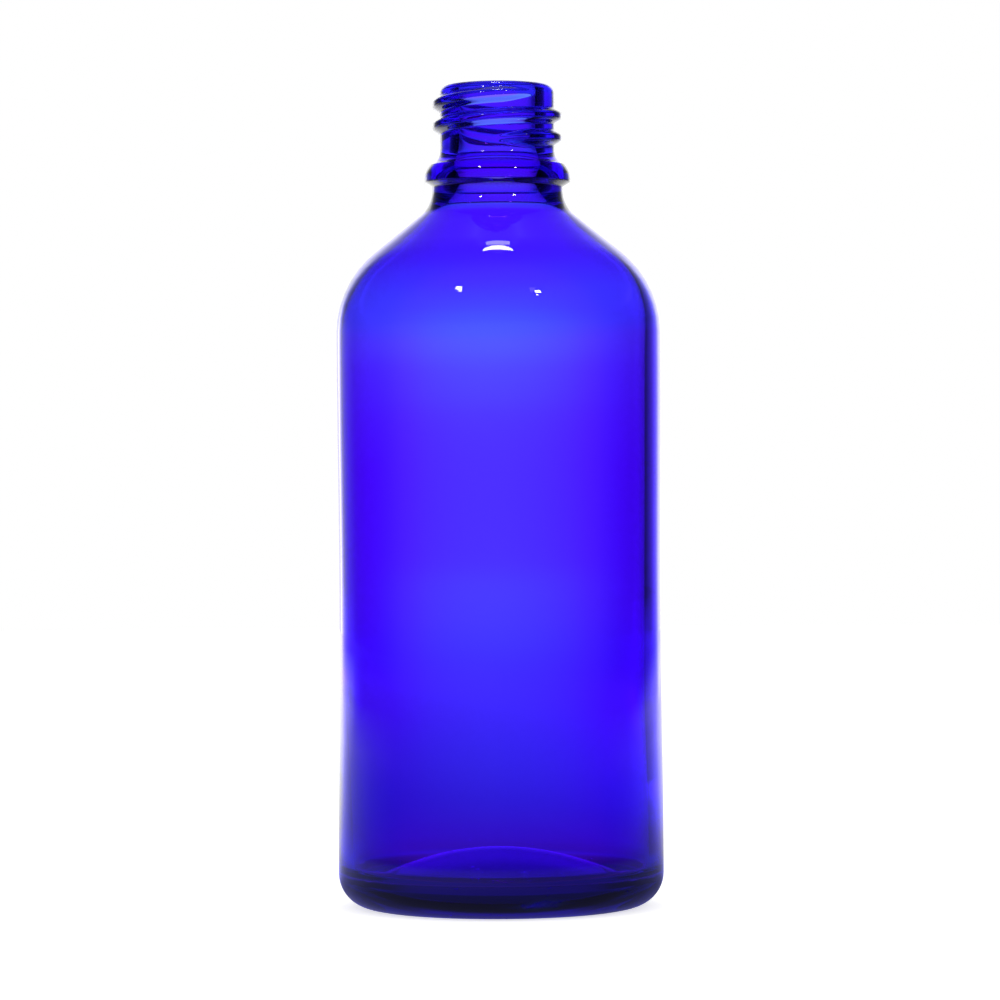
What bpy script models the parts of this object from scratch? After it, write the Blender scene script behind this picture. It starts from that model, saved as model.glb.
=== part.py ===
"""A small moulded glass bottle with a screw neck: one closed, hollow body of blue glass, turned about +Z.

The bottle stands on the floor, z = 0, with its axis on +Z. Its wall is one unbroken outline, drawn in a
half-plane from the middle of the underside, up the outside, over the lip, down the bore and along the
inside to the middle of the floor. Lengths are in metres and angles in radians.
"""

import math

import bmesh
import bpy
from mathutils import Vector

# Overall size
BOTTLE_HEIGHT = 0.1124
BODY_DIAMETER = 0.0445

# Body wall: thicker toward the base, and drawn in a little between two bands, so that bottles touch only there
UPPER_WALL = 0.0014
LOWER_WALL = 0.0020
LOWER_BAND_HEIGHT = 0.0090
UPPER_BAND_HEIGHT = 0.0090
WAIST_DEPTH = 0.0002

# Base: a narrow flat ring to stand on, round a dome that is pushed up into the bottle
HEEL_RADIUS = 0.0047
BEARING_RING_WIDTH = 0.0016
PUSH_UP_HEIGHT = 0.0034
BASE_THICKNESS = 0.0044
FLOOR_RISE = 0.0036
INNER_HEEL_RADIUS = 0.0016

# Shoulder: a cone that is rounded into the body above and into the neck below
SHOULDER_FALL = math.radians(38.5)
SHOULDER_RADIUS = 0.0142
SHOULDER_WALL = 0.0012
INNER_SHOULDER_RADIUS = 0.0128

# Neck: the stem between shoulder and bead, the bore, and the plain root that the thread stands on. Inside,
# the bore's foot lies this drop below the shoulder's own line, and is rounded so far that it flares early
NECK_LENGTH = 0.0165
STEM_DIAMETER = 0.0179
NECK_FOOT_RADIUS = 0.0046
ROOT_DIAMETER = 0.0157
BORE_DIAMETER = 0.0105
BORE_FOOT_DROP = 0.0011
INNER_NECK_RADIUS = 0.0120

# Bead under the thread, where a cap's band locks: flat below, and bevelled on top so that a band slides on
BEAD_DIAMETER = 0.0200
BEAD_DROP = 0.01095
BEAD_HEIGHT = 0.0024
BEAD_BEVEL_WIDTH = 0.0007
BEAD_BEVEL_HEIGHT = 0.0010
BEAD_CROWN_RADIUS = 0.0028
BEAD_EDGE_RADIUS = 0.00025
BEAD_UNDERSIDE_FALL = math.radians(30.0)
BEAD_LEDGE_FALL = math.radians(25.0)
BEAD_LEDGE_RADIUS = 0.0021

# Lip: rounded outside and inside, with a narrow flat land between for a seal
LIP_RADIUS = 0.00115
MOUTH_RADIUS = 0.0007

# Facets: sides of the turned solid, points on the waist, and how far a facet may lie off its round
SIDES = 60
WAIST_STEPS = 6
FACET_SAG = 0.00004
WELD_DISTANCE = 0.000001
SHARP_ANGLE = math.radians(35.0)

# Glass: its colour, how clear its surface is, and how it bends light
GLASS_COLOUR = (0.035, 0.014, 0.62, 1.0)
GLASS_ROUGHNESS = 0.04
GLASS_METALLIC = 0.0
GLASS_TRANSMISSION = 1.0
GLASS_IOR = 1.52


def clear_scene():
    """Removes whatever the open file holds."""
    for obj in list(bpy.data.objects):
        bpy.data.objects.remove(obj, do_unlink=True)


def arc_steps(radius, turn):
    """How many chords follow an arc of this radius and turn without lying more than FACET_SAG off it."""
    if radius <= FACET_SAG:
        return 1
    return max(1, math.ceil(turn / (2 * math.acos(1 - FACET_SAG / radius))))


def arc(centre, start, end):
    """Points from start to end round centre, both ends included, each as Vector((radius, height))."""
    out, back = start - centre, end - centre
    turn = out.angle(back)
    steps = arc_steps(out.length, turn)
    return [
        centre + (math.sin(turn * (1 - k / steps)) * out + math.sin(turn * k / steps) * back) / math.sin(turn)
        for k in range(steps + 1)
    ]


def dome(foot_radius, foot_height, rise):
    """A round dome's points from its middle, on the axis, down to its foot."""
    sphere_radius = (foot_radius**2 + rise**2) / (2 * rise)
    centre = Vector((0, foot_height + rise - sphere_radius))
    return arc(centre, Vector((0, foot_height + rise)), Vector((foot_radius, foot_height)))


def rounded(corners):
    """The outline through corners, each (radius, height, fillet radius), with its fillets as arcs.

    A fillet reaches from its corner along both edges by the fillet radius over the tangent of half the
    corner's angle. Two fillets that don't fit on the edge between them share it in proportion.
    """
    points = [Vector(corner[:2]) for corner in corners]
    reaches = [0.0] * len(points)
    halves = [0.0] * len(points)
    for k in range(1, len(points) - 1):
        halves[k] = (points[k - 1] - points[k]).angle(points[k + 1] - points[k]) / 2
        reaches[k] = corners[k][2] / math.tan(halves[k])
    fitting = list(reaches)
    for k in range(len(points) - 1):
        room = (points[k + 1] - points[k]).length
        wanted = reaches[k] + reaches[k + 1]
        if wanted > room:
            fitting[k] = min(fitting[k], reaches[k] * room / wanted)
            fitting[k + 1] = min(fitting[k + 1], reaches[k + 1] * room / wanted)
    outline = [points[0]]
    for k in range(1, len(points) - 1):
        if fitting[k] == 0:
            outline.append(points[k])
            continue
        before = (points[k - 1] - points[k]).normalized()
        after = (points[k + 1] - points[k]).normalized()
        centre = points[k] + (before + after).normalized() * fitting[k] / math.cos(halves[k])
        outline += arc(centre, points[k] + before * fitting[k], points[k] + after * fitting[k])
    outline.append(points[-1])
    return outline


def waist(radius, low, high):
    """Corners of the body wall from low to high, drawn in by a squared sine of the height between them."""
    corners = []
    for k in range(WAIST_STEPS + 1):
        share = k / WAIST_STEPS
        draw = WAIST_DEPTH * math.sin(math.pi * share) ** 2
        corners.append((radius - draw, low + (high - low) * share, 0))
    return corners


def bottle_outline():
    """The whole outline of the glass, from the middle of the underside to the middle of the floor."""
    body = BODY_DIAMETER / 2
    stem = STEM_DIAMETER / 2
    root = ROOT_DIAMETER / 2
    bead = BEAD_DIAMETER / 2
    bore = BORE_DIAMETER / 2
    inside_top = body - UPPER_WALL
    inside_foot = body - LOWER_WALL
    slope = math.tan(SHOULDER_FALL)

    ring_outer = body - HEEL_RADIUS
    push_up_foot = ring_outer - BEARING_RING_WIDTH

    neck_foot = BOTTLE_HEIGHT - NECK_LENGTH
    shoulder = neck_foot - (body - stem) * slope
    bead_top = BOTTLE_HEIGHT - BEAD_DROP
    bead_bottom = bead_top - BEAD_HEIGHT
    undercut = bead_bottom - (bead - stem) * math.tan(BEAD_UNDERSIDE_FALL)
    ledge_outer = bead - BEAD_BEVEL_WIDTH
    ledge_inner = bead_top + (ledge_outer - root) * math.tan(BEAD_LEDGE_FALL)

    inner_shoulder = neck_foot - (inside_top - stem) * slope - SHOULDER_WALL / math.cos(SHOULDER_FALL)
    inner_neck = neck_foot + (stem - bore) * slope - BORE_FOOT_DROP

    outer_corners = [
        (push_up_foot, 0, 0),
        (body, 0, HEEL_RADIUS),
        *waist(body, LOWER_BAND_HEIGHT, shoulder - UPPER_BAND_HEIGHT),
        (body, shoulder, SHOULDER_RADIUS),
        (stem, neck_foot, NECK_FOOT_RADIUS),
        (stem, undercut, BEAD_EDGE_RADIUS),
        (bead, bead_bottom, BEAD_EDGE_RADIUS),
        (bead, bead_top - BEAD_BEVEL_HEIGHT, BEAD_CROWN_RADIUS),
        (ledge_outer, bead_top, BEAD_EDGE_RADIUS),
        (root, ledge_inner, BEAD_LEDGE_RADIUS),
        (root, BOTTLE_HEIGHT, LIP_RADIUS),
        (bore, BOTTLE_HEIGHT, MOUTH_RADIUS),
        (bore, inner_neck, INNER_NECK_RADIUS),
        (inside_top, inner_shoulder, INNER_SHOULDER_RADIUS),
        (inside_foot, BASE_THICKNESS, INNER_HEEL_RADIUS),
        (push_up_foot, BASE_THICKNESS, 0),
    ]
    underside = dome(push_up_foot, 0, PUSH_UP_HEIGHT)
    floor = dome(push_up_foot, BASE_THICKNESS, FLOOR_RISE)
    return underside[:-1] + rounded(outer_corners) + floor[-2::-1]


def turned(name, outline):
    """An object turned about +Z from an outline whose two ends lie on the axis, as one closed body."""
    bm = bmesh.new()
    verts = [bm.verts.new((point.x, 0, point.y)) for point in outline]
    edges = [bm.edges.new(pair) for pair in zip(verts, verts[1:])]
    bmesh.ops.spin(
        bm,
        geom=verts + edges,
        cent=(0, 0, 0),
        axis=(0, 0, 1),
        angle=math.tau,
        steps=SIDES,
        use_merge=True,
    )
    bmesh.ops.remove_doubles(bm, verts=bm.verts, dist=WELD_DISTANCE)
    bmesh.ops.recalc_face_normals(bm, faces=bm.faces)
    mesh = bpy.data.meshes.new(name)
    bm.to_mesh(mesh)
    bm.free()
    mesh.shade_smooth()
    mesh.set_sharp_from_angle(angle=SHARP_ANGLE)
    obj = bpy.data.objects.new(name, mesh)
    bpy.context.scene.collection.objects.link(obj)
    return obj


def glass_material():
    """Deep blue, clear glass with a fire-polished surface."""
    material = bpy.data.materials.new("blue_glass")
    material.use_nodes = True
    shader = material.node_tree.nodes["Principled BSDF"]
    shader.inputs["Base Color"].default_value = GLASS_COLOUR
    shader.inputs["Roughness"].default_value = GLASS_ROUGHNESS
    shader.inputs["Metallic"].default_value = GLASS_METALLIC
    shader.inputs["Transmission Weight"].default_value = GLASS_TRANSMISSION
    shader.inputs["IOR"].default_value = GLASS_IOR
    return material


def make_bottle():
    """The bottle, its only piece, standing on the floor with its axis on +Z."""
    bottle = turned("bottle", bottle_outline())
    bottle.data.materials.append(glass_material())
    return bottle


clear_scene()
make_bottle()
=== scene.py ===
"""A small blue glass bottle with a screw neck, made as one closed wall of glass and set on a pale floor."""

import math

import bpy
import numpy as np
from bpy.props import FloatProperty, FloatVectorProperty, PointerProperty
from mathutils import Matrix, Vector


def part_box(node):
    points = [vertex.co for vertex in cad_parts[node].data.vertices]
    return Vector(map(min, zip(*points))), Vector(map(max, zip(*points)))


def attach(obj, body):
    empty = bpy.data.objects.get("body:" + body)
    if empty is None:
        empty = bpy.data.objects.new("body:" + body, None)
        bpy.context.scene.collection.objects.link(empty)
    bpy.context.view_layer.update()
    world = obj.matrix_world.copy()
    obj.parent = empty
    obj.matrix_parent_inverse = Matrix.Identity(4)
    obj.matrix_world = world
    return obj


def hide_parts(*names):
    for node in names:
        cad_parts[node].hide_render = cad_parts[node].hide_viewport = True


bl_info = {
    "name": "Glass Bottle",
    "version": (1, 0, 0),
    "blender": (4, 5, 0),
    "location": "3D View > Sidebar > Bottle",
    "description": "Makes a blue glass bottle with a screw neck, and the studio round it",
    "category": "Object",
}

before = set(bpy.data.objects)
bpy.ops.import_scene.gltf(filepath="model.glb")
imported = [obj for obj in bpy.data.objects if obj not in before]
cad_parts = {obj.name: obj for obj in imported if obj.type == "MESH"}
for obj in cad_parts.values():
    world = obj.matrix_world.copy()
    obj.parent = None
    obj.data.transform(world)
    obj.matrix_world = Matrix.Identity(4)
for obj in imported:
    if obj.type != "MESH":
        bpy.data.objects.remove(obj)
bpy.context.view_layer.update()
NODE = "bottle"
BOX_LOW, BOX_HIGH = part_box(NODE)
BODY_RADIUS = (BOX_HIGH[0] - BOX_LOW[0]) / 2
BOTTLE_HEIGHT = BOX_HIGH[2] - BOX_LOW[2]
MM = 0.001


# Properties: the sizes, colours and levels that a user would change

def length(name, description, default):
    """A length property, in metres."""
    return FloatProperty(name=name, description=description, default=default, unit="LENGTH", precision=5)


def angle(name, description, degrees):
    """An angle property, given in degrees and kept in radians."""
    return FloatProperty(name=name, description=description, default=math.radians(degrees), unit="ROTATION")


def level(name, description, default):
    """A brightness, where 1 is white."""
    return FloatProperty(name=name, description=description, default=default, min=0.0)


def colour(name, description, default):
    """A colour, in linear red, green and blue."""
    return FloatVectorProperty(name=name, description=description, default=default, subtype="COLOR",
                               size=3, min=0.0, max=1.0)


class BottleSizes(bpy.types.PropertyGroup):
    """Sizes of the glass, apart from its height and its diameter, which the CAD part's box gives."""

    body_wall: length("Body wall", "Thickness of the wall under the shoulder", 1.4 * MM)
    low_wall: length("Low wall", "Thickness of the wall above the base", 2.0 * MM)
    wall_drift: length("Wall drift", "Wall added on the right and taken off on the left", 0.5 * MM)
    waist_depth: length("Waist depth", "How far the wall draws in between its two bands", 0.2 * MM)
    band_height: length("Band height", "Height of the band at each end of the wall", 9.0 * MM)
    heel_radius: length("Heel radius", "Round between the wall and the ring it stands on", 4.7 * MM)
    ring_width: length("Ring width", "Width of the flat ring that the bottle stands on", 1.6 * MM)
    push_up: length("Push-up", "Rise of the dome under the base", 3.4 * MM)
    base_thickness: length("Base thickness", "Glass between the underside and the floor inside", 4.4 * MM)
    floor_rise: length("Floor rise", "Rise of the floor inside toward its middle", 3.6 * MM)
    inner_heel_radius: length("Inner heel radius", "Round between the wall and the floor inside", 1.6 * MM)
    shoulder_fall: angle("Shoulder fall", "Slope of the shoulder's cone", 38.5)
    shoulder_radius: length("Shoulder radius", "Round between the wall and the cone", 14.2 * MM)
    shoulder_wall: length("Shoulder wall", "Thickness of the wall at the shoulder", 1.2 * MM)
    bore_foot_drop: length("Bore foot drop", "Drop of the bore's foot below the shoulder's line", 1.42 * MM)
    inner_shoulder_radius: length("Inner shoulder radius", "Round inside the shoulder", 12.8 * MM)
    neck_length: length("Neck length", "From the lip down to the foot of the neck", 16.5 * MM)
    stem_radius: length("Stem radius", "Radius of the neck under the bead", 8.95 * MM)
    neck_foot_radius: length("Neck foot radius", "Round between the cone and the neck", 4.6 * MM)
    root_radius: length("Root radius", "Radius of the neck between the thread's turns", 7.85 * MM)
    bore_radius: length("Bore radius", "Radius of the mouth", 5.25 * MM)
    inner_neck_radius: length("Inner neck radius", "Round between the bore and the shoulder", 15.0 * MM)
    bead_radius: length("Bead radius", "Radius of the locking bead", 10.0 * MM)
    bead_drop: length("Bead drop", "From the lip down to the top of the bead", 10.95 * MM)
    bead_height: length("Bead height", "Height of the bead", 2.4 * MM)
    bead_bevel_width: length("Bead bevel width", "Width of the bevel on top of the bead", 0.7 * MM)
    bead_bevel_height: length("Bead bevel height", "Height of that bevel", 1.0 * MM)
    bead_crown_radius: length("Bead crown radius", "Round under that bevel", 2.8 * MM)
    bead_edge_radius: length("Bead edge radius", "Round on the bead's sharper edges", 0.25 * MM)
    bead_underside_fall: angle("Bead underside fall", "Slope of the bead's underside", 30.0)
    ledge_fall: angle("Ledge fall", "Slope of the ledge on top of the bead", 25.0)
    ledge_radius: length("Ledge radius", "Round between that ledge and the neck", 2.1 * MM)
    lip_radius: length("Lip radius", "Outer round of the lip", 1.15 * MM)
    mouth_radius: length("Mouth radius", "Inner round of the lip", 0.7 * MM)
    thread_height: length("Thread height", "Height of the thread over its root", 1.0 * MM)
    thread_half_width: length("Thread half width", "Half the width of the thread at its root", 1.15 * MM)
    thread_pitch: length("Thread pitch", "Rise of the thread in one turn", 3.0 * MM)
    thread_drop: length("Thread drop", "From the lip down to where the thread starts", 1.6 * MM)
    thread_start: angle("Thread start", "Direction in which the thread starts, from +X", -48.0)
    thread_turn: angle("Thread turn", "How far the thread runs round the neck", 764.0)
    thread_run_in: angle("Thread run-in", "How far round the thread swells from nothing", 40.0)


class GlassLook(bpy.types.PropertyGroup):
    """Colour, bending and ripple of the glass."""

    tint: colour("Tint", "What the outside lets through", (0.0857, 0.078, 1.0))
    depth_colour: colour("Depth colour", "Colour that the glass takes on with depth", (0.80, 0.067, 0.915))
    depth_density: FloatProperty(name="Depth density", description="Pace of that change, per metre",
                                 default=300.0, min=0.0)
    bending: FloatProperty(name="Index of refraction", description="How strongly the glass bends light",
                           default=1.52, min=1.0, max=2.0)
    ripple: length("Ripple", "Height of the slow waves in the surface", 0.02 * MM)


class StudioLook(bpy.types.PropertyGroup):
    """Levels and colours of the studio."""

    floor_colour: colour("Floor colour", "Colour of the floor", (0.82, 0.82, 0.82))
    fill_level: level("Fill level", "Even light from all round", 0.6)
    lamp_level: level("Lamp level", "Brightness of the two front lamps", 40.0)
    spill_level: level("Spill level", "Brightness of the small lights beside them", 26.0)
    bow_level: level("Bow level", "Brightness of the bowed light overhead", 18.0)
    edge_level: level("Edge level", "Brightness of the strip behind that light", 4.0)


# Shape: points of the outline, and the surfaces turned from it

SIDES = 280  # round the axis
COARSE = 2.0 * MM  # greatest spacing of the outline's points
FINE = 0.08 * MM  # the same on the threaded neck
FINE_START = 1.7 * MM  # from the bead's ledge up to the finely divided neck
ARC_STEP = math.radians(7.5)  # greatest turn between the points of an arc
DOME_STEPS = 12
WAIST_POINTS = 13
THREAD_LAPS = 4  # more than the thread ever runs
THREAD_TIP_WIDTH = 0.45  # share of the thread's width that is left at its ends
THREAD_CREST = 1.7  # power that widens the thread's crest
DRIFT_FOOT = (6 * MM, 32 * MM)  # heights between which the wall drift sets in
DRIFT_HEAD = (92 * MM, 76 * MM)  # and, from above, those between which it fades


def smooth(values, low, high):
    """A smooth step from 0 at low to 1 at high: three squares less two cubes of the share between them."""
    part = np.clip((values - low) / (high - low), 0, 1)
    return part * part * (3 - 2 * part)


def outline_points(corners, spacing):
    """A rounded outline through corners, each (radius, height, fillet radius).

    Each fillet is an arc that touches both edges of its corner, at fillet radius over the tangent of half
    the corner's angle from it. Points are laid along straight runs and arcs at most the spacing apart, and
    an arc turns by at most ARC_STEP from one to the next.
    """
    corners = np.asarray(corners, float)
    points = [corners[0, :2]]

    def run_to(end):
        """Lay points in a straight run from the last one to this end."""
        start = points[-1]
        steps = max(1, math.ceil(np.linalg.norm(end - start) / spacing))
        points.extend(start + (end - start) * np.arange(1, steps + 1)[:, None] / steps)

    for before, corner, after in zip(corners, corners[1:], corners[2:]):
        here = corner[:2]
        if corner[2] == 0:
            run_to(here)
            continue
        back = (before[:2] - here) / np.linalg.norm(before[:2] - here)
        on = (after[:2] - here) / np.linalg.norm(after[:2] - here)
        half = math.acos(float(np.clip(back @ on, -1, 1))) / 2
        reach = corner[2] / math.tan(half)
        centre = here + (back + on) / np.linalg.norm(back + on) * corner[2] / math.sin(half)
        run_to(here + back * reach)
        out, end = here + back * reach - centre, here + on * reach - centre
        turn = math.pi - 2 * half
        steps = max(2, math.ceil(turn / ARC_STEP), math.ceil(turn * corner[2] / spacing))
        part = np.arange(1, steps + 1)[:, None] / steps
        points.extend(centre + (np.sin(turn * (1 - part)) * out + np.sin(turn * part) * end) / math.sin(turn))
    run_to(corners[-1, :2])
    return np.array(points)


def dome_points(foot_radius, foot_height, rise, steps):
    """A round dome's outline from its middle, on the axis, down to its foot.

    The dome is part of a sphere: its radius is the squares of the foot's radius and of the rise, added and
    divided by twice the rise.
    """
    sphere = (foot_radius**2 + rise**2) / (2 * rise)
    out = foot_radius * np.arange(steps + 1) / steps
    return np.column_stack([out, foot_height + rise - sphere + np.sqrt(sphere**2 - out**2)])


def waist(size, low, high):
    """Corners of the wall between its bands, drawn in by a squared sine of the height between them."""
    part = np.linspace(0, 1, WAIST_POINTS)
    draw = size.waist_depth * np.sin(math.pi * part) ** 2
    return [(r, z, 0) for r, z in zip(BODY_RADIUS - draw, low + (high - low) * part)]


def dome_foot(size):
    """Radius of the push-up, which ends where the ring that the bottle stands on begins."""
    return BODY_RADIUS - size.heel_radius - size.ring_width


def neck_foot(size):
    """Height at which the shoulder's cone would meet the neck."""
    return BOTTLE_HEIGHT - size.neck_length


def bead_top(size):
    """Height of the top of the locking bead."""
    return BOTTLE_HEIGHT - size.bead_drop


def outer_outline(size):
    """The outside from the standing ring up to the lip: the coarse part below, and the threaded neck."""
    shoulder = neck_foot(size) - (BODY_RADIUS - size.stem_radius) * math.tan(size.shoulder_fall)
    top = bead_top(size)
    bottom = top - size.bead_height
    undercut = bottom - (size.bead_radius - size.stem_radius) * math.tan(size.bead_underside_fall)
    ledge_outer = size.bead_radius - size.bead_bevel_width
    ledge_inner = top + (ledge_outer - size.root_radius) * math.tan(size.ledge_fall)
    below = outline_points([
        (dome_foot(size), 0, 0),
        (BODY_RADIUS, 0, size.heel_radius),
        *waist(size, size.band_height, shoulder - size.band_height),
        (BODY_RADIUS, shoulder, size.shoulder_radius),
        (size.stem_radius, neck_foot(size), size.neck_foot_radius),
        (size.stem_radius, undercut, size.bead_edge_radius),
        (size.bead_radius, bottom, size.bead_edge_radius),
        (size.bead_radius, top - size.bead_bevel_height, size.bead_crown_radius),
        (ledge_outer, top, size.bead_edge_radius),
        (size.root_radius, ledge_inner, size.ledge_radius),
        (size.root_radius, ledge_inner + FINE_START, 0),
    ], COARSE)
    neck = outline_points([
        (size.root_radius, ledge_inner + FINE_START, 0),
        (size.root_radius, BOTTLE_HEIGHT, size.lip_radius),
        (size.root_radius - size.lip_radius, BOTTLE_HEIGHT, 0),
    ], FINE)
    return below, neck


def inner_outline(size):
    """The inside from the lip down the bore, over the shoulder and down the wall to the floor."""
    slope = math.tan(size.shoulder_fall)
    inside = BODY_RADIUS - size.body_wall
    drop = size.shoulder_wall / math.cos(size.shoulder_fall)
    shoulder = neck_foot(size) - (inside - size.stem_radius) * slope - drop
    bore_foot = neck_foot(size) + (size.stem_radius - size.bore_radius) * slope - size.bore_foot_drop
    return outline_points([
        (size.root_radius - size.lip_radius, BOTTLE_HEIGHT, 0),
        (size.bore_radius, BOTTLE_HEIGHT, size.mouth_radius),
        (size.bore_radius, bore_foot, size.inner_neck_radius),
        (inside, shoulder, size.inner_shoulder_radius),
        (BODY_RADIUS - size.low_wall, size.base_thickness, size.inner_heel_radius),
        (dome_foot(size), size.base_thickness, 0),
    ], COARSE)


def thread_ridge(size, angles, heights):
    """How far the thread stands over its root, over a grid of heights and angles.

    A helix falls by one pitch in each turn as the angle decreases from the thread's start. The ridge over it
    is a cosine across its width, with its crest widened by a power. It swells along the run-in at both of
    its ends, in height and in width, by a smooth step.
    """
    ridge = np.zeros(np.broadcast(heights, angles).shape)
    first = np.mod(size.thread_start - angles, math.tau)
    for lap in range(THREAD_LAPS):
        run = first + lap * math.tau
        middle = BOTTLE_HEIGHT - size.thread_drop - size.thread_pitch * run / math.tau
        swell = smooth(np.minimum(run, size.thread_turn - run), 0, size.thread_run_in)
        half_width = size.thread_half_width * (THREAD_TIP_WIDTH + (1 - THREAD_TIP_WIDTH) * swell)
        across = np.clip(np.abs((heights - middle) / half_width), 0, 1)
        bump = 0.5 + 0.5 * np.cos(math.pi * across**THREAD_CREST)
        ridge = np.maximum(ridge, size.thread_height * swell * bump)
    return ridge


def closed_turn(name, radii, heights, angles, outside):
    """A mesh from a grid of radii and heights over (outline, angle), closed by a point at each end.

    The points are the radii times the angles' cosine and sine. Quads join each ring to the next, and a fan
    of triangles closes each end. The attribute "outside" is 1 on the outside and 0 on the inside.
    """
    rows, sides = radii.shape
    ring = np.column_stack([
        (radii[1:-1] * np.cos(angles)).ravel(), (radii[1:-1] * np.sin(angles)).ravel(), heights[1:-1].ravel()
    ])
    points = np.vstack([[[0, 0, heights[0].mean()]], ring, [[0, 0, heights[-1].mean()]]])
    row = np.arange(rows - 3)[:, None] * sides
    this, following = np.arange(sides), (np.arange(sides) + 1) % sides
    quads = np.stack([row + this, row + following, row + sides + following, row + sides + this], axis=-1)
    quads = quads.reshape(-1, 4) + 1
    first_fan = np.column_stack([np.zeros(sides, int), following + 1, this + 1])
    last_row = 1 + (rows - 3) * sides
    last_fan = np.column_stack([np.full(sides, len(points) - 1), last_row + this, last_row + following])
    mesh = bpy.data.meshes.new(name)
    mesh.from_pydata(points.tolist(), [], first_fan.tolist() + quads.tolist() + last_fan.tolist())
    marks = mesh.attributes.new("outside", "FLOAT", "POINT")
    values = np.concatenate([[1], np.repeat(outside[1:-1], sides), [0]])
    marks.data.foreach_set("value", values.astype(np.float32))
    mesh.validate()
    mesh.shade_smooth()
    mesh.update()
    return mesh


def bottle_mesh(size):
    """The bottle's wall of glass: its rounded outline turned about the axis, with the thread on the neck.

    The outline runs from the middle of the push-up over the outside and the inside to the middle of the
    floor. The inside's radius falls by the wall drift times the cosine of the angle from +X, which is eased
    in over the base and out under the shoulder.
    """
    underside = dome_points(dome_foot(size), 0, size.push_up, DOME_STEPS)
    below, neck = outer_outline(size)
    floor = dome_points(dome_foot(size), size.base_thickness, size.floor_rise, DOME_STEPS)[::-1]
    outline = np.vstack([underside[:-1], below, neck[1:], inner_outline(size)[1:], floor[1:]])
    outside = np.arange(len(outline)) < len(underside) - 1 + len(below) + len(neck) - 1
    angles = np.arange(SIDES)[None, :] * math.tau / SIDES
    radii = outline[:, :1] + 0 * angles
    heights = outline[:, 1:] + 0 * angles
    threaded = outside[:, None] & (heights > bead_top(size))
    radii = radii + np.where(threaded, thread_ridge(size, angles, heights), 0)
    drift = smooth(heights, *DRIFT_FOOT) * smooth(heights, *DRIFT_HEAD) * size.wall_drift
    radii = radii - np.where(outside[:, None], 0, drift * np.cos(angles))
    return closed_turn("bottle_glass", radii, heights, angles, outside)


# Nodes: short ways to add them

def add_node(tree, kind, **settings):
    """A new node of this kind, with its settings."""
    node = tree.nodes.new(kind)
    for name, value in settings.items():
        setattr(node, name, value)
    return node


def calc(tree, operation, *values):
    """The output of a math node over values, each a number or a socket."""
    node = add_node(tree, "ShaderNodeMath", operation=operation)
    for socket, value in zip(node.inputs, values):
        if isinstance(value, (int, float)):
            socket.default_value = value
        else:
            tree.links.new(value, socket)
    return node.outputs[0]


def times(tree, first, *others):
    """The product of these values."""
    for other in others:
        first = calc(tree, "MULTIPLY", first, other)
    return first


def blend(tree, share, low, high):
    """low where the share is 0 and high where it is 1."""
    return calc(tree, "ADD", low, calc(tree, "MULTIPLY", share, calc(tree, "SUBTRACT", high, low)))


def curve(tree, value, stops):
    """Levels over value, from stops of (value, level), eased between them and held past the ends."""
    low, high = stops[0][0], stops[-1][0]
    node = add_node(tree, "ShaderNodeFloatCurve")
    points = node.mapping.curves[0].points
    while len(points) < len(stops):
        points.new(0.5, 0.5)
    top = max(stop[1] for stop in stops)
    for point, (at, height) in zip(points, stops):
        point.location = ((at - low) / (high - low), height / top)
        point.handle_type = "AUTO_CLAMPED"
    node.mapping.update()
    part = calc(tree, "DIVIDE", calc(tree, "SUBTRACT", value, low), high - low)
    part.node.use_clamp = True
    tree.links.new(part, node.inputs["Value"])
    return calc(tree, "MULTIPLY", node.outputs["Value"], top)


def coordinates(tree, kind):
    """The texture coordinate of this kind, and its x, y and z."""
    coords = add_node(tree, "ShaderNodeTexCoord").outputs[kind]
    split = add_node(tree, "ShaderNodeSeparateXYZ")
    tree.links.new(coords, split.inputs[0])
    return coords, *split.outputs


def turn_from_back(tree, x, y):
    """The turn away from +Y, to either side, in degrees."""
    return calc(tree, "DEGREES", calc(tree, "ARCTAN2", calc(tree, "ABSOLUTE", x), y))


def bare_material(name):
    """A new material that has only its output yet, and its node tree."""
    material = bpy.data.materials.new(name)
    material.use_nodes = True
    tree = material.node_tree
    tree.nodes.remove(tree.nodes["Principled BSDF"])
    return material, tree


# Glass

# Heights are in mm, and facing goes from 0, where the glass faces the eye, to 1, where it is seen edge on.
# The first three are shares of the full tint by height, and those up to the roughness change them.
# They paint light and shade into the tint: a painted sheen high on the shoulder, painted shade over the
# base, under the bead and low on the wall, painted shade that deepens the blue toward the edges, and
# painted light on the thread's flanks.

RED_BY_HEIGHT = (
    (0, 0.8), (2.5, 0.7), (3.6, 0.35), (5, 0.35), (6, 0.7), (7.5, 0.8), (9, 0.75), (11, 0.6), (14, 0.48),
    (20, 0.5), (27, 0.62), (34, 0.66), (42, 0.82), (56, 0.88), (72, 0.98), (77.5, 1.02), (79.5, 0.76),
    (84, 0.7), (88, 0.78), (95, 0.85), (113, 0.85),
)
GREEN_BY_HEIGHT = (
    (0, 0.3), (7, 0.15), (10, 0.3), (14, 0.45), (20, 0.6), (26, 0.65), (32, 0.75), (36, 1.0), (42, 1.15),
    (48, 0.8), (56, 0.75), (64, 0.85), (70, 1.35), (74, 1.75), (79, 2.5), (80.6, 1.85), (82.3, 1.45),
    (83.8, 1.15), (85.4, 0.85), (87, 0.55), (89, 0.4), (91.5, 0.18), (94, 0.14), (95.5, 0.4), (96.5, 1.8),
    (98, 1.8), (99, 0.3), (100, 0.1), (101.8, 0.15), (103, 0.9), (104.2, 0.95), (105.2, 0.4), (108, 0.35),
    (110, 0.45), (113, 0.9),
)
BLUE_BY_HEIGHT = (
    (0, 0.5), (1.5, 0.4), (3.2, 0.25), (4.3, 0.24), (5.2, 0.6), (6.5, 0.85), (8, 1), (97.9, 1), (98.3, 0.3),
    (98.75, 0.3), (99.1, 1), (113, 1),
)
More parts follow.
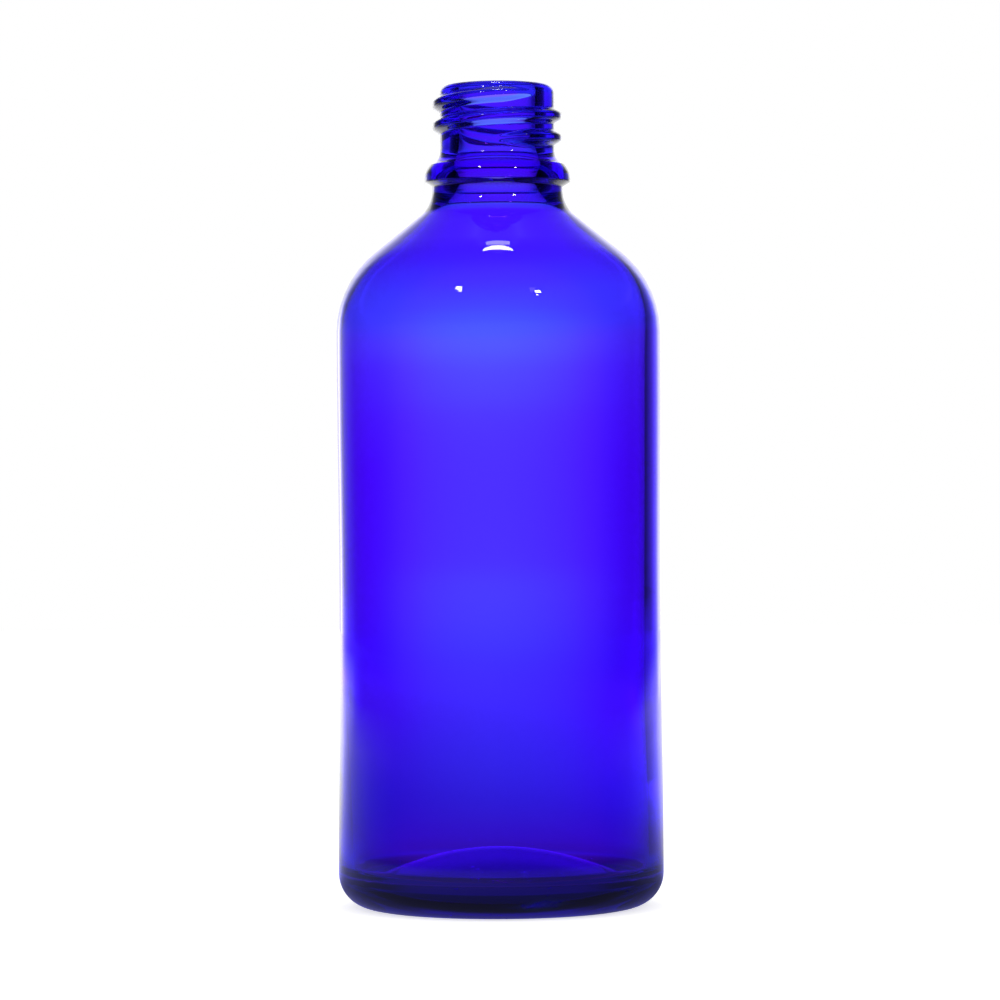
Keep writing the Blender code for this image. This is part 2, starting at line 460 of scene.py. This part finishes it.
BLUE_EDGE_BY_FACING = ((0.5, 0), (0.75, 1))  # seen edge on, the base keeps its blue, free of its painted shade
BLUE_EDGE_BY_HEIGHT = ((0, 1), (20, 1), (21, 0))
NECK_BY_HEIGHT = ((95, 0), (97.5, 1))  # where the neck's own factors hold
# painted light and shade by facing: less green toward the body's edges, and bands of more green and less red
# on the neck
GREEN_BY_FACING = ((0, 1), (0.1, 0.55), (0.2, 0.2), (0.33, 0.03), (0.5, 0.01), (1, 0.01))
GREEN_KEPT_BY_HEIGHT = (  # share of the green that facing leaves as it is
    (60, 0), (66.6, 0.05), (74.8, 0.13), (79, 0.25), (82, 0.55), (86, 1),
)
GREEN_NECK_BY_FACING = ((0, 1), (0.12, 1), (0.22, 2.0), (0.4, 2.0), (0.5, 0.5), (0.65, 0.5), (1, 1))
RED_BY_FACING = ((0, 1), (0.15, 0.95), (0.33, 0.62), (0.6, 0.72), (1, 1))
RED_NECK_BY_FACING = ((0, 1), (0.12, 0.95), (0.22, 0.38), (0.4, 0.38), (0.52, 0.6), (0.65, 0.65), (1, 1))
LOW_BAND_BY_HEIGHT = ((17, 0), (25, 1), (34, 0))  # a paler band low on the wall
LOW_BAND_GREEN = 0.12
FLANK_BY_LEAN = ((0.05, 0), (0.3, 1))  # over how far the surface leans from upright
FLANK_BY_HEIGHT = ((103, 0), (104, 1), (111.5, 1), (112, 0))  # the thread's reach
FLANK_RED, FLANK_GREEN = 0.4, 2.2  # painted light on the thread's flanks: factors on their red and green
NECK_ROUGHNESS = ((101.0, 0), (102.5, 0.05), (110.6, 0.05), (111.4, 0))
FLANK_ROUGHNESS = 0.05
INNER_ROUGHNESS = ((0, 0.06), (9, 0.06), (10.5, 0), (96, 0), (99, 0.03), (110, 0.03), (111.5, 0))
RIPPLE_SCALE = (110, 110, 16)  # waves per metre: long along the axis, as blown glass has them


def tint_with_painted_light(tree, look, height, facing, outside, flank):
    """The colour of the surface: white inside, and outside the tint, changed by height, facing and the
    thread's flanks with painted light and shade.
    """
    # shares by height: a painted sheen high on the shoulder, painted shade over the base, under the bead and
    # low on the wall
    red = curve(tree, height, RED_BY_HEIGHT)
    green = curve(tree, height, GREEN_BY_HEIGHT)
    blue = curve(tree, height, BLUE_BY_HEIGHT)
    edge = times(tree, curve(tree, facing, BLUE_EDGE_BY_FACING), curve(tree, height, BLUE_EDGE_BY_HEIGHT))
    blue = calc(tree, "MAXIMUM", blue, edge)
    neck = curve(tree, height, NECK_BY_HEIGHT)
    low_band = curve(tree, height, LOW_BAND_BY_HEIGHT)
    slant = blend(tree, curve(tree, height, GREEN_KEPT_BY_HEIGHT), curve(tree, facing, GREEN_BY_FACING), 1.0)
    slant = calc(tree, "MAXIMUM", slant, times(tree, low_band, LOW_BAND_GREEN))
    green = times(tree, green, blend(tree, neck, slant, curve(tree, facing, GREEN_NECK_BY_FACING)))
    slant = blend(tree, low_band, curve(tree, facing, RED_BY_FACING), 1.0)
    red = times(tree, red, blend(tree, neck, slant, curve(tree, facing, RED_NECK_BY_FACING)))
    # painted light on the thread's flanks
    red = times(tree, red, blend(tree, flank, 1.0, FLANK_RED))
    green = times(tree, green, blend(tree, flank, 1.0, FLANK_GREEN))
    tint = add_node(tree, "ShaderNodeCombineColor")
    for name, part, full in zip(("Red", "Green", "Blue"), (red, green, blue), look.tint):
        tree.links.new(blend(tree, outside, 1.0, times(tree, part, full)), tint.inputs[name])
    return tint.outputs["Color"]


def glass_roughness(tree, height, outside, flank):
    """A little roughness on the thread, on the floor inside and in the bore, and none elsewhere."""
    thread = times(tree, outside, curve(tree, height, NECK_ROUGHNESS))
    thread = calc(tree, "ADD", thread, times(tree, outside, flank, FLANK_ROUGHNESS))
    inner = times(tree, calc(tree, "SUBTRACT", 1.0, outside), curve(tree, height, INNER_ROUGHNESS))
    return calc(tree, "ADD", thread, inner)


def glass_ripple(tree, coords, depth):
    """A normal that rocks a little in slow waves, stretched along the axis."""
    stretched = add_node(tree, "ShaderNodeVectorMath", operation="MULTIPLY")
    tree.links.new(coords, stretched.inputs[0])
    stretched.inputs[1].default_value = RIPPLE_SCALE
    waves = add_node(tree, "ShaderNodeTexNoise")
    waves.inputs["Scale"].default_value = 1
    waves.inputs["Detail"].default_value = 1
    tree.links.new(stretched.outputs["Vector"], waves.inputs["Vector"])
    ripple = add_node(tree, "ShaderNodeBump")
    ripple.inputs["Distance"].default_value = depth
    tree.links.new(waves.outputs["Fac"], ripple.inputs["Height"])
    return ripple.outputs["Normal"]


def glass_material(look):
    """Clear blue glass: a tint with painted light and shade in its outer surface, and a colour that deepens
    with the way through it.
    """
    material = bpy.data.materials.new("blue_glass_look")
    material.use_nodes = True
    tree = material.node_tree
    shader = tree.nodes["Principled BSDF"]
    shader.inputs["IOR"].default_value = look.bending
    shader.inputs["Metallic"].default_value = 0
    shader.inputs["Transmission Weight"].default_value = 1
    coords, _, _, z = coordinates(tree, "Object")
    height = times(tree, z, 1 / MM)
    weight = add_node(tree, "ShaderNodeLayerWeight")
    weight.inputs["Blend"].default_value = 0.5
    outside = add_node(tree, "ShaderNodeAttribute", attribute_name="outside").outputs["Fac"]
    normal = add_node(tree, "ShaderNodeSeparateXYZ")
    tree.links.new(add_node(tree, "ShaderNodeNewGeometry").outputs["Normal"], normal.inputs[0])
    lean = calc(tree, "ABSOLUTE", normal.outputs["Z"])
    flank = times(tree, curve(tree, lean, FLANK_BY_LEAN), curve(tree, height, FLANK_BY_HEIGHT))
    # the tint carries painted light and shade
    tint = tint_with_painted_light(tree, look, height, weight.outputs["Facing"], outside, flank)
    tree.links.new(tint, shader.inputs["Base Color"])
    tree.links.new(glass_roughness(tree, height, outside, flank), shader.inputs["Roughness"])
    tree.links.new(glass_ripple(tree, coords, look.ripple), shader.inputs["Normal"])
    depth = add_node(tree, "ShaderNodeVolumeAbsorption")
    depth.inputs["Color"].default_value = (*look.depth_colour, 1)
    depth.inputs["Density"].default_value = look.depth_density
    tree.links.new(depth.outputs["Volume"], tree.nodes["Material Output"].inputs["Volume"])
    return material


class BOTTLE_OT_glass(bpy.types.Operator):
    """Make the bottle: one closed wall of blue glass with its screw thread."""

    bl_idname = "bottle.glass"
    bl_label = "Glass Bottle"

    def execute(self, context):
        """Make the mesh and its glass, hang it on the root body, and hide the CAD node that it replaces."""
        mesh = bottle_mesh(context.scene.bottle_sizes)
        mesh.materials.append(glass_material(context.scene.bottle_glass))
        bottle = bpy.data.objects.new("bottle_glass", mesh)
        context.scene.collection.objects.link(bottle)
        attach(bottle, "root")
        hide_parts(NODE)
        return {"FINISHED"}


# Studio

# Turns are degrees away from the middle of the surround's bright panel, which is behind the bottle, and
# rises are degrees above the horizon. Straight rays came through the glass, mirrored ones off it, and inner
# ones were reflected inside it.

ONCE = 0.5  # past this many reflections, a ray counts as mirrored
OFTEN = 2.5  # past this many, it gathers light from all round
OFTEN_LEVEL = 0.3
STRAIGHT_BY_TURN = ((0, 1.0), (14, 1.0), (22, 0.92), (30, 0.75), (45, 0.6), (60, 0.5), (90, 0.6), (180, 0.75))
SHARP_BY_TURN = (
    (0, 1.0), (21, 1.0), (25, 0.75), (29, 0.4), (33, 0.22), (38, 0.11), (45, 0.05), (60, 0.015), (75, 0.006),
    (110, 0.005), (180, 0.005),
)
NARROW_BY_RISE = ((2.9, 0), (3.5, 1), (9, 1), (13, 0))  # where the bright panel is narrower
NARROW_BY_TURN = (
    (0, 1.0), (16, 0.95), (22, 0.8), (28, 0.5), (34, 0.2), (45, 0.1), (60, 0.1), (90, 0.6), (180, 0.75),
)
STRAIGHT_BY_RISE = ((-90, 1.36), (-2.4, 1.36), (0, 1.36), (2.5, 1.4), (8, 1.35), (40, 1.2), (90, 1.0))
MIRRORED_BY_RISE = (
    (-90, 1.5), (0, 1.5), (15, 1.55), (20, 1.4), (24.4, 0.95), (27.8, 0.7), (30.6, 0.52), (33, 0.42),
    (45, 0.4), (60, 0.38), (68, 0.3), (73, 0.12), (90, 0.1),
)
INNER_BY_RISE = (
    (-90, 1.5), (0, 1.5), (6, 1.3), (12, 0.7), (19, 0.45), (26, 0.55), (38, 0.55), (50, 0.45), (90, 0.35),
)
SIDE_BY_RISE = ((3, 1), (10, 0))  # low on each side, the left is brighter than the right
SIDE_BY_TURN = ((20, 0), (28, 1), (42, 1), (58, 0))
SIDE_LEVEL_BY_X = ((-0.1, 2.5), (0.1, 1.1))

# The floor: levels of painted light and shade that the glass shows of it, over the distance away from the
# bottle's axis, in metres, and over the same turn

FLOOR_RADIUS = 1.2
FLOOR_RINGS, FLOOR_SIDES = 24, 96
REACH_BY_AWAY = ((0, 0), (0.022, 0.0), (0.1, 0.1), (0.35, 0.34), (0.5, 0.4), (1.2, 0.4))  # how it brightens

# Mirrored and inner rays see a base, painted darker near the bottle, and, on top of it, the reach times a
# slope

BASE_BY_TURN = (
    (0, 0.36), (36, 0.31), (45, 0.25), (55, 0.2), (66, 0.16), (90, 0.06), (110, 0.03), (180, 0.03),
)
BASE_BY_AWAY = ((0, 0.1), (0.022, 0.25), (0.06, 1), (1.2, 1))
SLOPE_BY_TURN = ((0, 2.6), (28, 2.6), (36, 1.6), (45, 0.8), (55, 0.4), (66, 0.2), (90, 0.1), (180, 0.02))
INNER_LIFT_BY_AWAY = ((0.24, 1.0), (0.32, 1.6), (0.38, 2.3), (0.43, 2.2), (0.48, 1.0))  # for inner rays alone
FRONT_BY_TURN = ((60, 0), (90, 1))  # a faint light from the floor in front
FRONT_BY_AWAY = ((0.03, 0.1), (0.08, 0.12), (0.1, 0))
FAR_BY_AWAY = ((0.42, 0), (0.7, 1))  # where the far floor takes on the surround's level
FAR_BY_TURN = ((22, 0), (32, 1))
FAR_LEVEL = 1.5
FAR_MIRRORED_BY_SIDE = ((-0.5, 1.7), (-0.35, 1.7), (0.35, 1.3), (0.5, 1.3))  # over x as a share of away
FAR_INNER_BY_SIDE = ((-0.5, 1.3), (-0.3, 1.2), (0.3, 1.0), (0.5, 0.4))
PALE_BY_AWAY = ((0.3, 0), (0.4, 0.04), (0.475, 0.12), (0.57, 0.3), (0.68, 0.4), (0.85, 0.25), (1.1, 0))
PALE_LEFT_BY_TURN = ((25, 0), (35, 1.2), (46, 1.1), (58, 0.15), (64, 0))  # a painted pale patch on each side, where a pale card would show
PALE_RIGHT_BY_TURN = ((25, 0), (35, 1.2), (47, 1.2), (60, 0.8), (72, 0.2), (80, 0))
PALE_NARROWS_FROM = 0.57  # farther away than this, the right pale patch narrows
PALE_NARROWS_BY = 60  # by so many degrees for each metre
SIDES_BY_X = ((-0.03, 1.5), (0.03, 0.95))  # the left side is brighter

# Straight rays see a level that changes near the bottle, with a painted shadow under it and a painted bright
# ring just round it, and, on top of it, the reach times a slope

UNDER_BY_AWAY = (
    (0, 0.1), (0.018, 0.2), (0.024, 0.6), (0.032, 1.0), (0.045, 0.95), (0.07, 0.65), (0.1, 0.5), (1.2, 0.48),
)
STRAIGHT_SLOPE, STRAIGHT_MOST = 2.15, 1.36  # that slope, and the most that the sum may reach
DARK_BY_AWAY = ((0.24, 0), (0.27, 0.35), (0.31, 0.85), (0.345, 1), (0.38, 1), (0.41, 0.5), (0.48, 0))
DARK_BY_TURN = ((14.5, 0), (17, 0.3), (18.5, 0.75), (20.5, 1), (28, 1), (32, 0))  # a painted dark patch on the left, where a dark card would show

# The camera sees the floor white, and mirrored rays see a painted pool of blue light on it near the bottle

WHITE_BY_AWAY = ((0, 0.7), (0.1, 0.72), (0.5, 1.0), (1.2, 1.0))
BLUISH_BY_AWAY = ((0, 1.8), (0.04, 1.8), (0.09, 0))

# Lamps and camera

LAMP_AIM = (0, 0, 0.09)
FRONT_LAMPS = (  # name, direction, size and level
    ("left_lamp", (-0.408, -0.612, 0.679), (0.07, 0.055), "lamp_level"),
    ("right_lamp", (0.428, -0.654, 0.6145), (0.066, 0.055), "lamp_level"),
    ("left_spill", (-0.408, -0.66, 0.64), (0.04, 0.024), "spill_level"),
    ("right_spill", (0.428, -0.70, 0.575), (0.03, 0.024), "spill_level"),
)
FRONT_DISTANCE, TOP_DISTANCE = 1.0, 0.9
EDGE_DIRECTION, EDGE_SIZE = (0, 0.216, 0.976), (0.14, 0.034)
BOW_DIRECTION = (0, 0.06, 0.998)
BOW_HALF_WIDTH, BOW_DEPTH = 0.1, 0.11
BOW_HOLLOW = 0.2  # depth of the shallow arc, as a share of the deep one's
BOW_STEPS = 32
CAMERA_LENS, CAMERA_SENSOR, CAMERA_NEAR = 144.5, 36, 0.01
CAMERA_PLACE = (0.00011, -0.55, 0.0556)
CAMERA_TURN = (math.pi / 2, math.radians(0.33), 0)
MOST_BOUNCES, MOST_GLOSSY = 32, 24


def sharp_rays(tree, path):
    """1 for rays that were mirrored on their way, outside the glass or inside it, and 0 for the others."""
    mirrored = calc(tree, "SUBTRACT", 1, path.outputs["Is Transmission Ray"])
    inside = calc(tree, "GREATER_THAN", path.outputs["Glossy Depth"], ONCE)
    return calc(tree, "MAXIMUM", mirrored, inside)


def with_often(tree, path, usual):
    """The usual level, but at least a low, even light for rays mirrored three or more times."""
    often = times(tree, calc(tree, "GREATER_THAN", path.outputs["Glossy Depth"], OFTEN), OFTEN_LEVEL)
    return calc(tree, "MAXIMUM", usual, often)


def make_world(scene, look):
    """The surround: white to the camera, and a bright panel behind the bottle to what the glass shows.

    Rays that came straight through, mirrored ones and inner ones each have their own levels. Other light
    from it is an even fill.
    """
    world = bpy.data.worlds.new("studio")
    scene.world = world
    world.use_nodes = True
    tree = world.node_tree
    _, x, y, z = coordinates(tree, "Generated")
    turn = turn_from_back(tree, x, y)
    rise = calc(tree, "DEGREES", calc(tree, "ARCSINE", z))
    path = add_node(tree, "ShaderNodeLightPath")
    soft = blend(tree, curve(tree, rise, NARROW_BY_RISE), curve(tree, turn, STRAIGHT_BY_TURN),
                 curve(tree, turn, NARROW_BY_TURN))
    soft = times(tree, soft, curve(tree, rise, STRAIGHT_BY_RISE))
    side = times(tree, curve(tree, rise, SIDE_BY_RISE), curve(tree, turn, SIDE_BY_TURN))
    mirrored = times(tree, curve(tree, rise, MIRRORED_BY_RISE),
                     blend(tree, side, 1.0, curve(tree, x, SIDE_LEVEL_BY_X)))
    sharp = blend(tree, path.outputs["Is Transmission Ray"], mirrored, curve(tree, rise, INNER_BY_RISE))
    sharp = with_often(tree, path, times(tree, curve(tree, turn, SHARP_BY_TURN), sharp))
    seen = blend(tree, sharp_rays(tree, path), soft, sharp)
    other = blend(tree, path.outputs["Is Glossy Ray"], look.fill_level, seen)
    background = tree.nodes["Background"]
    tree.links.new(blend(tree, path.outputs["Is Camera Ray"], other, 1.0), background.inputs["Strength"])
    background.inputs["Color"].default_value = (1, 1, 1, 1)


def floor_mesh():
    """A round floor: rings whose radii grow with the square of their number, and a fan in the middle."""
    out = (FLOOR_RADIUS * np.linspace(0, 1, FLOOR_RINGS + 1) ** 2)[:, None]
    around = np.arange(FLOOR_SIDES)[None, :] * math.tau / FLOOR_SIDES
    points = np.stack([out * np.cos(around), out * np.sin(around), 0 * out * around], axis=-1)
    points = np.vstack([[[0, 0, 0]], points[1:].reshape(-1, 3)])
    this, following = np.arange(FLOOR_SIDES), (np.arange(FLOOR_SIDES) + 1) % FLOOR_SIDES
    fan = np.column_stack([np.zeros(FLOOR_SIDES, int), this + 1, following + 1])
    row = np.arange(FLOOR_RINGS - 1)[:, None] * FLOOR_SIDES + 1
    quads = np.stack([
        row + this, row + FLOOR_SIDES + this, row + FLOOR_SIDES + following, row + following
    ], axis=-1)
    mesh = bpy.data.meshes.new("floor")
    mesh.from_pydata(points.tolist(), [], fan.tolist() + quads.reshape(-1, 4).tolist())
    mesh.update()
    return mesh


def mirrored_floor(tree, path, x, away, turn):
    """The floor's painted level to rays mirrored by the glass: it rises with the distance and falls with the
    turn.

    The far floor takes on the surround's level, a painted pale patch lies on each side, and the front is
    faint.
    """
    inner = path.outputs["Is Transmission Ray"]
    mirrored = calc(tree, "ADD",
                    times(tree, curve(tree, turn, SLOPE_BY_TURN), curve(tree, away, REACH_BY_AWAY)),
                    times(tree, curve(tree, turn, BASE_BY_TURN), curve(tree, away, BASE_BY_AWAY)))
    mirrored = times(tree, mirrored, blend(tree, inner, 1.0, curve(tree, away, INNER_LIFT_BY_AWAY)))
    side = calc(tree, "DIVIDE", x, away)
    far_level = times(tree, curve(tree, turn, SHARP_BY_TURN), FAR_LEVEL,
                      blend(tree, inner, curve(tree, side, FAR_MIRRORED_BY_SIDE),
                            curve(tree, side, FAR_INNER_BY_SIDE)))
    far = times(tree, curve(tree, away, FAR_BY_AWAY), curve(tree, turn, FAR_BY_TURN))
    mirrored = blend(tree, far, mirrored, far_level)
    narrowing = calc(tree, "MAXIMUM", calc(tree, "SUBTRACT", away, PALE_NARROWS_FROM), 0)
    wider = calc(tree, "ADD", turn, times(tree, narrowing, PALE_NARROWS_BY))
    pale = blend(tree, calc(tree, "LESS_THAN", x, 0), curve(tree, wider, PALE_RIGHT_BY_TURN),
                 curve(tree, turn, PALE_LEFT_BY_TURN))
    mirrored = calc(tree, "ADD", mirrored, times(tree, pale, curve(tree, away, PALE_BY_AWAY)))
    front = times(tree, curve(tree, turn, FRONT_BY_TURN), curve(tree, away, FRONT_BY_AWAY))
    mirrored = times(tree, calc(tree, "ADD", mirrored, front), curve(tree, x, SIDES_BY_X))
    return with_often(tree, path, mirrored)


def straight_floor(tree, x, away, turn):
    """The floor's painted level to rays that came straight through: a painted shadow under the bottle, and a
    painted dark patch on the left.
    """
    reach = times(tree, STRAIGHT_SLOPE, curve(tree, away, REACH_BY_AWAY))
    through = calc(tree, "ADD", reach, curve(tree, away, UNDER_BY_AWAY))
    through = calc(tree, "MINIMUM", through, STRAIGHT_MOST)
    through = times(tree, curve(tree, turn, STRAIGHT_BY_TURN), through)
    painted_dark_patch = times(tree, curve(tree, away, DARK_BY_AWAY), curve(tree, turn, DARK_BY_TURN),
                 calc(tree, "LESS_THAN", x, 0))
    return times(tree, through, calc(tree, "SUBTRACT", 1.0, painted_dark_patch))


def floor_material(look):
    """A pale floor: matt, white to the camera, and glowing with its own painted levels of light and shade to
    what the glass shows of it.
    """
    material, tree = bare_material("floor")
    coords, x, y, _ = coordinates(tree, "Object")
    distance = add_node(tree, "ShaderNodeVectorMath", operation="LENGTH")
    tree.links.new(coords, distance.inputs[0])
    away = distance.outputs["Value"]
    turn = turn_from_back(tree, x, y)
    path = add_node(tree, "ShaderNodeLightPath")
    sharp = sharp_rays(tree, path)
    matt = add_node(tree, "ShaderNodeBsdfDiffuse")
    matt.inputs["Color"].default_value = (*look.floor_colour, 1)
    white = add_node(tree, "ShaderNodeEmission")
    seen_white = times(tree, path.outputs["Is Camera Ray"], curve(tree, away, WHITE_BY_AWAY))
    tree.links.new(seen_white, white.inputs["Strength"])
    plain = add_node(tree, "ShaderNodeAddShader")
    tree.links.new(matt.outputs[0], plain.inputs[0])
    tree.links.new(white.outputs[0], plain.inputs[1])
    glow = add_node(tree, "ShaderNodeEmission")
    straight = straight_floor(tree, x, away, turn)
    levels = blend(tree, sharp, straight, mirrored_floor(tree, path, x, away, turn))
    tree.links.new(levels, glow.inputs["Strength"])
    # a painted pool of blue light near the bottle, for mirrored rays
    bluish = add_node(tree, "ShaderNodeCombineColor")
    bluish.inputs["Red"].default_value = 1.0
    bluish.inputs["Green"].default_value = 1.0
    blue = calc(tree, "ADD", 1.0, times(tree, sharp, curve(tree, away, BLUISH_BY_AWAY)))
    tree.links.new(blue, bluish.inputs["Blue"])
    tree.links.new(bluish.outputs["Color"], glow.inputs["Color"])
    choice = add_node(tree, "ShaderNodeMixShader")
    tree.links.new(path.outputs["Is Glossy Ray"], choice.inputs[0])
    tree.links.new(plain.outputs[0], choice.inputs[1])
    tree.links.new(glow.outputs[0], choice.inputs[2])
    tree.links.new(choice.outputs[0], tree.nodes["Material Output"].inputs["Surface"])
    return material


def make_floor(scene, look):
    """The floor, as part of the stage."""
    mesh = floor_mesh()
    floor = bpy.data.objects.new("floor", mesh)
    scene.collection.objects.link(floor)
    mesh.materials.append(floor_material(look))


def aimed_from(direction, distance):
    """The unit direction, and the place this far from the lamps' aim along it."""
    direction = np.asarray(direction, float) / np.linalg.norm(direction)
    return direction, np.array(LAMP_AIM) + direction * distance


def add_lamp(scene, name, direction, distance, size, radiance):
    """An area light of this size that faces the bottle from this direction."""
    light = bpy.data.lights.new(name, "AREA")
    light.shape = "RECTANGLE"
    light.size, light.size_y = size
    light.energy = radiance * math.pi * size[0] * size[1]
    lamp = bpy.data.objects.new(name, light)
    direction, lamp.location = aimed_from(direction, distance)
    lamp.rotation_euler = Vector(direction).to_track_quat("Z", "Y").to_euler()
    scene.collection.objects.link(lamp)


def add_bow(scene, radiance):
    """A bowed light over the bottle, like a round reflector's front, between a deep arc and a shallow one.

    Both arcs have the half width times the sine of the turn across, and their depth times its cosine.
    """
    turn = np.linspace(-math.pi / 2, math.pi / 2, BOW_STEPS + 1)
    across, along = BOW_HALF_WIDTH * np.sin(turn), BOW_DEPTH * np.cos(turn)
    deep = np.column_stack([across, along, 0 * turn])
    shallow = np.column_stack([across, BOW_HOLLOW * along, 0 * turn])
    steps = np.arange(BOW_STEPS)
    faces = np.column_stack([steps, steps + 1, steps + BOW_STEPS + 2, steps + BOW_STEPS + 1])
    mesh = bpy.data.meshes.new("bow")
    mesh.from_pydata(np.vstack([deep, shallow]).tolist(), [], faces.tolist())
    material, tree = bare_material("bow")
    glow = add_node(tree, "ShaderNodeEmission")
    glow.inputs["Strength"].default_value = radiance
    tree.links.new(glow.outputs[0], tree.nodes["Material Output"].inputs["Surface"])
    mesh.materials.append(material)
    bow = bpy.data.objects.new("bow", mesh)
    _, bow.location = aimed_from(BOW_DIRECTION, TOP_DISTANCE)
    scene.collection.objects.link(bow)


def add_camera(scene):
    """A long lens level with the middle of the bottle, as in the photograph."""
    camera = bpy.data.cameras.new("camera")
    camera.sensor_width = CAMERA_SENSOR
    camera.lens = CAMERA_LENS
    camera.clip_start = CAMERA_NEAR
    view = bpy.data.objects.new("camera", camera)
    view.location = CAMERA_PLACE
    view.rotation_euler = CAMERA_TURN
    scene.collection.objects.link(view)
    scene.camera = view


class BOTTLE_OT_stage(bpy.types.Operator):
    """Make the stage: the floor, the light and the camera."""

    bl_idname = "bottle.stage"
    bl_label = "Studio"

    def execute(self, context):
        """Make the surround, floor, lamps and camera, and let light pass through many layers of glass."""
        scene = context.scene
        look = scene.bottle_studio
        make_world(scene, look)
        make_floor(scene, look)
        for name, direction, size, brightness in FRONT_LAMPS:
            add_lamp(scene, name, direction, FRONT_DISTANCE, size, getattr(look, brightness))
        add_bow(scene, look.bow_level)
        add_lamp(scene, "top_edge", EDGE_DIRECTION, TOP_DISTANCE, EDGE_SIZE, look.edge_level)
        add_camera(scene)
        scene.view_settings.view_transform = "Standard"
        scene.cycles.max_bounces = MOST_BOUNCES
        scene.cycles.transmission_bounces = MOST_BOUNCES
        scene.cycles.glossy_bounces = MOST_GLOSSY
        return {"FINISHED"}


class BOTTLE_PT_panel(bpy.types.Panel):
    """The bottle's and the studio's sizes and colours."""

    bl_idname = "BOTTLE_PT_panel"
    bl_label = "Bottle"
    bl_space_type = "VIEW_3D"
    bl_region_type = "UI"
    bl_category = "Bottle"

    def draw(self, context):
        """List the operators, then every property of each group."""
        for operator in (BOTTLE_OT_glass, BOTTLE_OT_stage):
            self.layout.operator(operator.bl_idname)
        for group in (context.scene.bottle_sizes, context.scene.bottle_glass, context.scene.bottle_studio):
            for name in group.__annotations__:
                self.layout.prop(group, name)


CLASSES = (BottleSizes, GlassLook, StudioLook, BOTTLE_OT_glass, BOTTLE_OT_stage, BOTTLE_PT_panel)


def register():
    """Register the classes, and give each scene its groups of properties."""
    for cls in CLASSES:
        bpy.utils.register_class(cls)
    bpy.types.Scene.bottle_sizes = PointerProperty(type=BottleSizes)
    bpy.types.Scene.bottle_glass = PointerProperty(type=GlassLook)
    bpy.types.Scene.bottle_studio = PointerProperty(type=StudioLook)


def unregister():
    """Take the groups and the classes away again."""
    for name in ("bottle_studio", "bottle_glass", "bottle_sizes"):
        delattr(bpy.types.Scene, name)
    for cls in reversed(CLASSES):
        bpy.utils.unregister_class(cls)


def main():
    """Make the bottle and its stage."""
    register()
    bpy.ops.bottle.glass()
    bpy.ops.bottle.stage()


if __name__ == "__main__":
    main()
